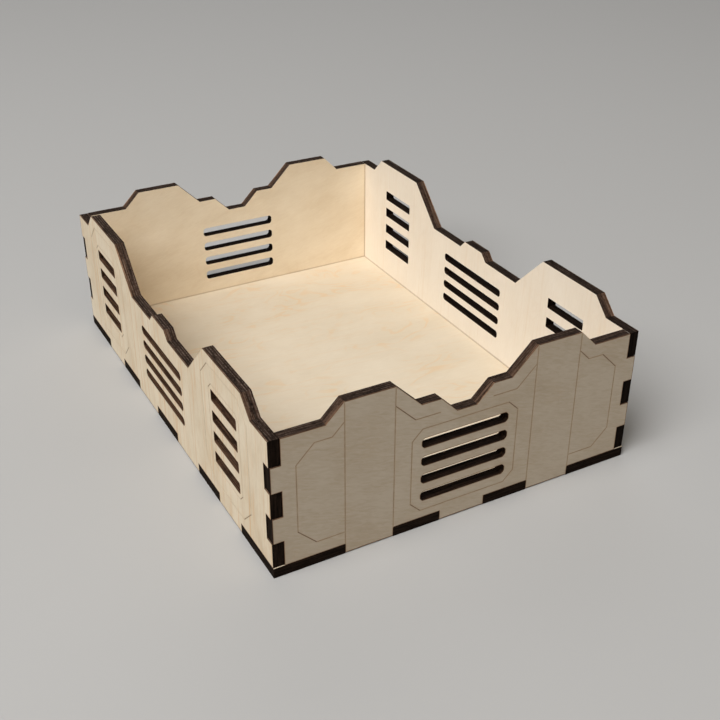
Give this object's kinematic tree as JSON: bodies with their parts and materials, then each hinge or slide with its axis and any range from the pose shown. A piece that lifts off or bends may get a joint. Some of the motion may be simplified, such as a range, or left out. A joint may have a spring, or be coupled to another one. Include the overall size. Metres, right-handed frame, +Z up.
{
  "type": "open-top storage crate",
  "caption": "Low open-top crate of laser-cut plywood, finger-jointed at the corners and floor, with stepped wall tops, stacked vent slots and scored panel lines.",
  "frame": {"origin": "middle of the crate's underside, on the surface that it stands on", "axes": "+X along the short front and back walls to the right, +Y along the long side walls from front to back, +Z up"},
  "size_m": [0.125, 0.1714, 0.052],
  "materials": {
    "birch_plywood": "bare sanded birch plywood, with edges burnt dark brown by the laser"
  },
  "bodies": {
    "root": {"floor_panel": "birch_plywood", "front_wall": "birch_plywood", "back_wall": "birch_plywood", "left_wall": "birch_plywood", "right_wall": "birch_plywood"}
  },
  "joints": []
}
